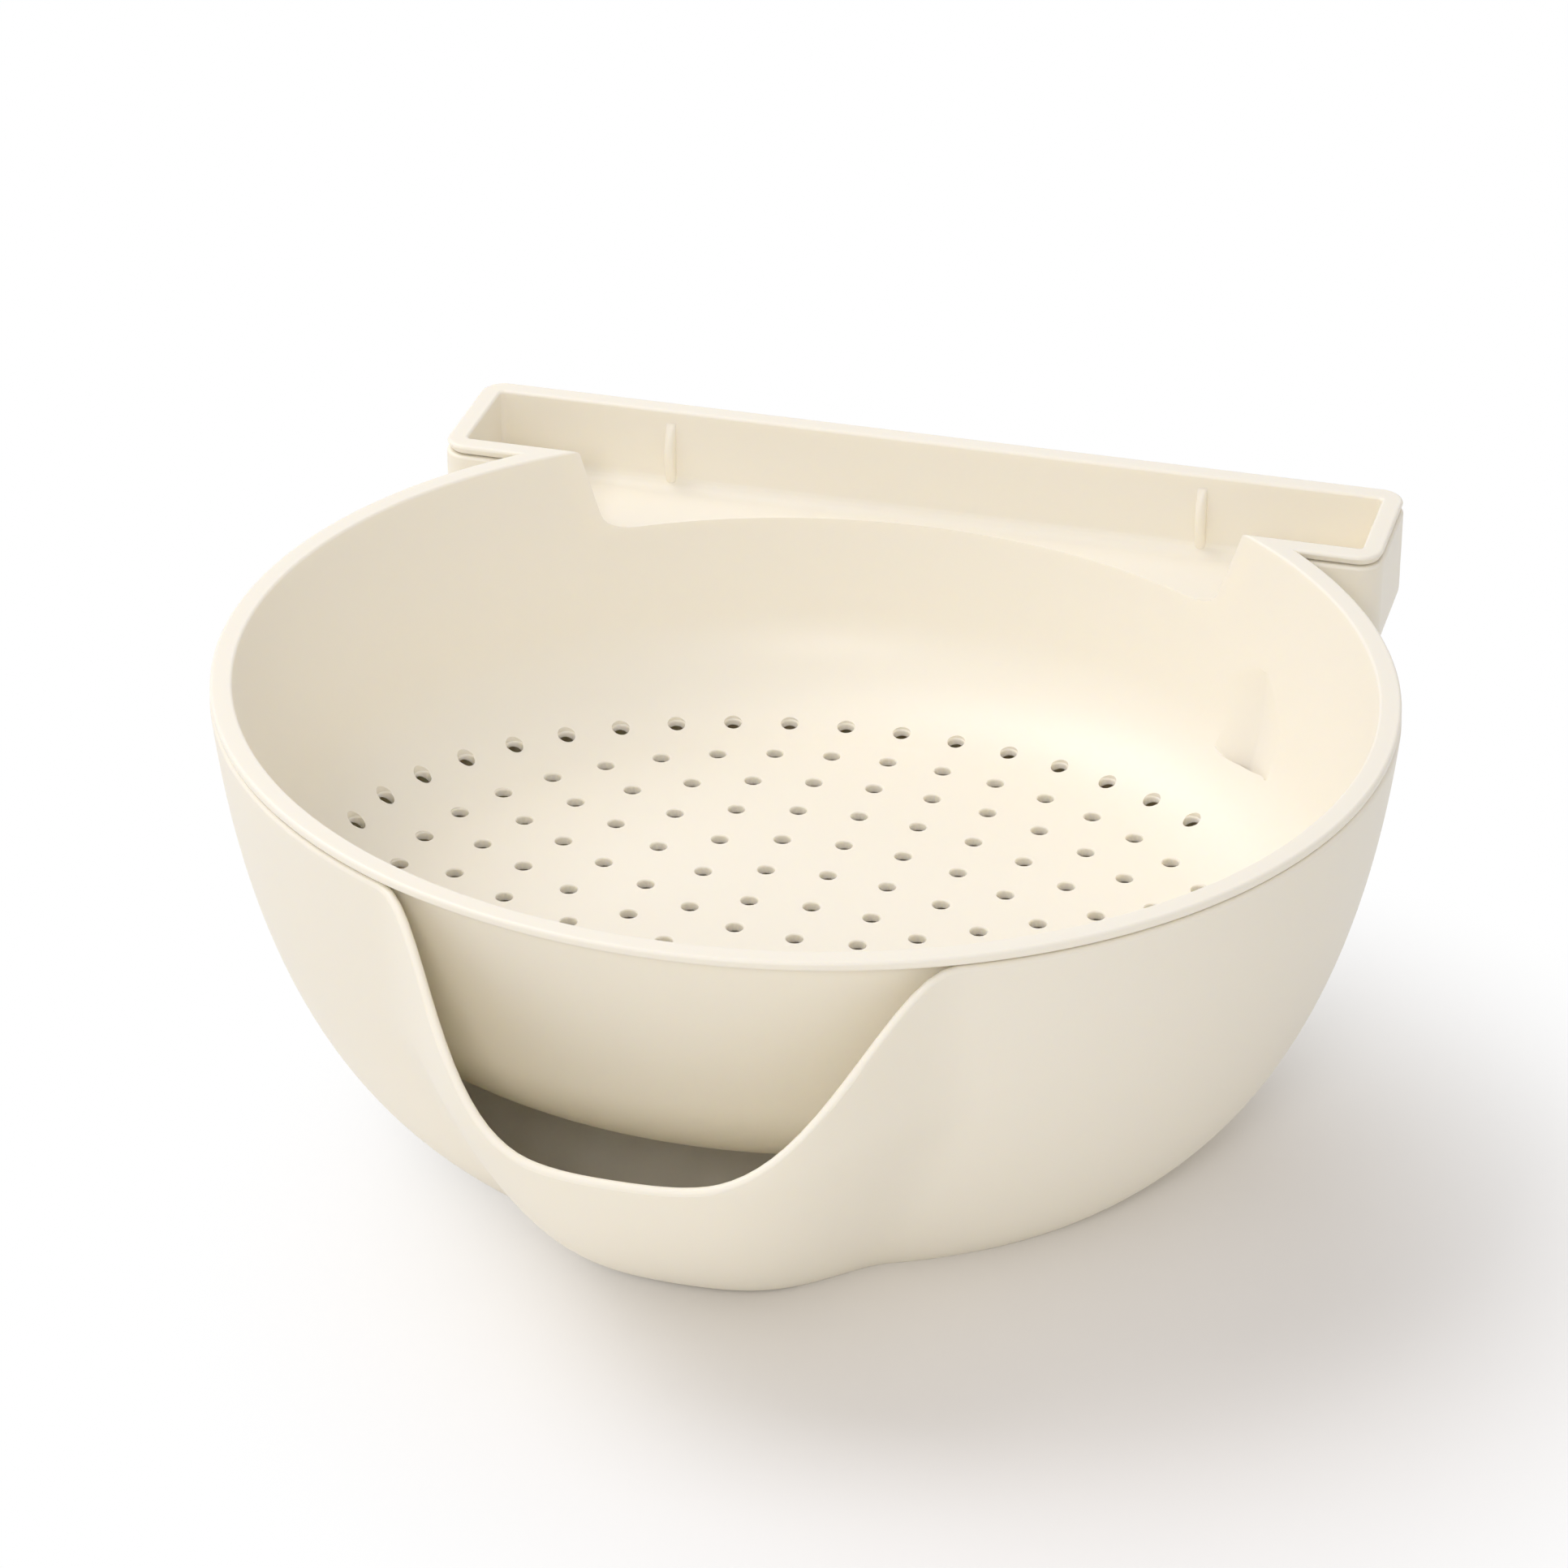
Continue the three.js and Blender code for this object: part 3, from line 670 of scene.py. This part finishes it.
def floor_material():
    """Pale table that turns white for the camera away from the bowl."""
    material = bpy.data.materials.new("pale_table")
    material.use_nodes = True
    nodes, links = material.node_tree.nodes, material.node_tree.links
    shader = nodes["Principled BSDF"]
    shader.inputs["Roughness"].default_value = 0.7
    place = nodes.new("ShaderNodeTexCoord")
    noise = nodes.new("ShaderNodeTexNoise")
    noise.inputs["Scale"].default_value = 30
    tone = nodes.new("ShaderNodeMix")
    tone.data_type = "RGBA"
    tone.inputs["A"].default_value = (0.905, 0.89, 0.855, 1)
    tone.inputs["B"].default_value = (0.89, 0.875, 0.84, 1)
    far = nodes.new("ShaderNodeVectorMath")
    far.operation = "LENGTH"
    fade = nodes.new("ShaderNodeMapRange")
    fade.interpolation_type = "SMOOTHSTEP"
    fade.inputs["From Min"].default_value = FADE_FROM
    fade.inputs["From Max"].default_value = FADE_TO
    only = nodes.new("ShaderNodeMath")
    only.operation = "MULTIPLY"
    white = nodes.new("ShaderNodeEmission")
    white.inputs["Strength"].default_value = 1
    mix = nodes.new("ShaderNodeMixShader")
    links.new(place.outputs["Object"], noise.inputs["Vector"])
    links.new(noise.outputs["Fac"], tone.inputs["Factor"])
    links.new(tone.outputs["Result"], shader.inputs["Base Color"])
    links.new(place.outputs["Object"], far.inputs[0])
    links.new(far.outputs["Value"], fade.inputs["Value"])
    links.new(seen_by_camera(nodes, links), only.inputs[0])
    links.new(fade.outputs["Result"], only.inputs[1])
    links.new(only.outputs["Value"], mix.inputs["Fac"])
    links.new(shader.outputs["BSDF"], mix.inputs[1])
    links.new(white.outputs["Emission"], mix.inputs[2])
    links.new(mix.outputs["Shader"], nodes["Material Output"].inputs["Surface"])
    return material


corners = [(x * FLOOR_HALF, y * FLOOR_HALF, 0) for x, y in ((-1, -1), (1, -1), (1, 1), (-1, 1))]
table_mesh = bpy.data.meshes.new("table")
table_mesh.from_pydata(corners, [], [(0, 1, 2, 3)])
table_mesh.materials.append(floor_material())
table = bpy.data.objects.new("table", table_mesh)
table.location = FLOOR_CENTRE
bpy.context.scene.collection.objects.link(table)
print("table is", 2 * FLOOR_HALF, "m wide")

# %% Lamps
SOFT_WHITE = (1.0, 0.975, 1.0)


def soft_lamp(name, place, target, size, power, colour):
    """A square area lamp that faces a point."""
    data = bpy.data.lights.new(name, "AREA")
    data.size = size
    data.energy = power
    data.color = colour
    lamp = bpy.data.objects.new(name, data)
    lamp.location = place
    lamp.rotation_euler = (Vector(target) - Vector(place)).to_track_quat("-Z", "Y").to_euler()
    bpy.context.scene.collection.objects.link(lamp)
    print("lamp", name, power, "W")


soft_lamp("window", (-0.85, 0.1, 1.3), (0, 0, 0.05), 1.0, 9.6, SOFT_WHITE)
soft_lamp("front_fill", (0.1, -1.2, 0.8), (0, -0.06, 0.02), 0.35, 3.5, SOFT_WHITE)

# %% World
WORLD_LEVEL = 0.58
world = bpy.data.worlds.new("studio")
bpy.context.scene.world = world
world.use_nodes = True
nodes, links = world.node_tree.nodes, world.node_tree.links
pale = nodes["Background"]
pale.inputs["Color"].default_value = (*SOFT_WHITE, 1)
pale.inputs["Strength"].default_value = WORLD_LEVEL
sweep = nodes.new("ShaderNodeBackground")
sweep.inputs["Color"].default_value = (1, 1, 1, 1)
mix = nodes.new("ShaderNodeMixShader")
links.new(seen_by_camera(nodes, links), mix.inputs["Fac"])
links.new(pale.outputs["Background"], mix.inputs[1])
links.new(sweep.outputs["Background"], mix.inputs[2])
links.new(mix.outputs["Shader"], nodes["World Output"].inputs["Surface"])
bpy.context.scene.view_settings.view_transform = "Standard"
print("world level", WORLD_LEVEL)

# %% Camera
PICTURE_SIDE = 1932
FOCAL_PIXELS = 7000
SENSOR = 36
ELEVATION, AZIMUTH = math.radians(29.71), math.radians(15.44)
DISTANCE, SHIFT_RIGHT, SHIFT_UP = 1104.1 * MM, 3.83 * MM, 21.92 * MM
right = Vector((math.cos(AZIMUTH), math.sin(AZIMUTH), 0))
ahead = Vector((-math.sin(AZIMUTH), math.cos(AZIMUTH), 0))
back = Vector((0, 0, math.sin(ELEVATION))) - ahead * math.cos(ELEVATION)
up = back.cross(right)
aim = Vector((0, 0, TOP_Z))
eye = aim + back * DISTANCE - right * SHIFT_RIGHT - up * SHIFT_UP
lens = bpy.data.cameras.new("camera")
lens.sensor_width = SENSOR
lens.lens = SENSOR * FOCAL_PIXELS / PICTURE_SIDE
camera = bpy.data.objects.new("camera", lens)
camera.matrix_world = Matrix((right, up, back)).transposed().to_4x4()
camera.location = eye
bpy.context.scene.collection.objects.link(camera)
bpy.context.scene.camera = camera
print("camera at", [round(v, 4) for v in eye])
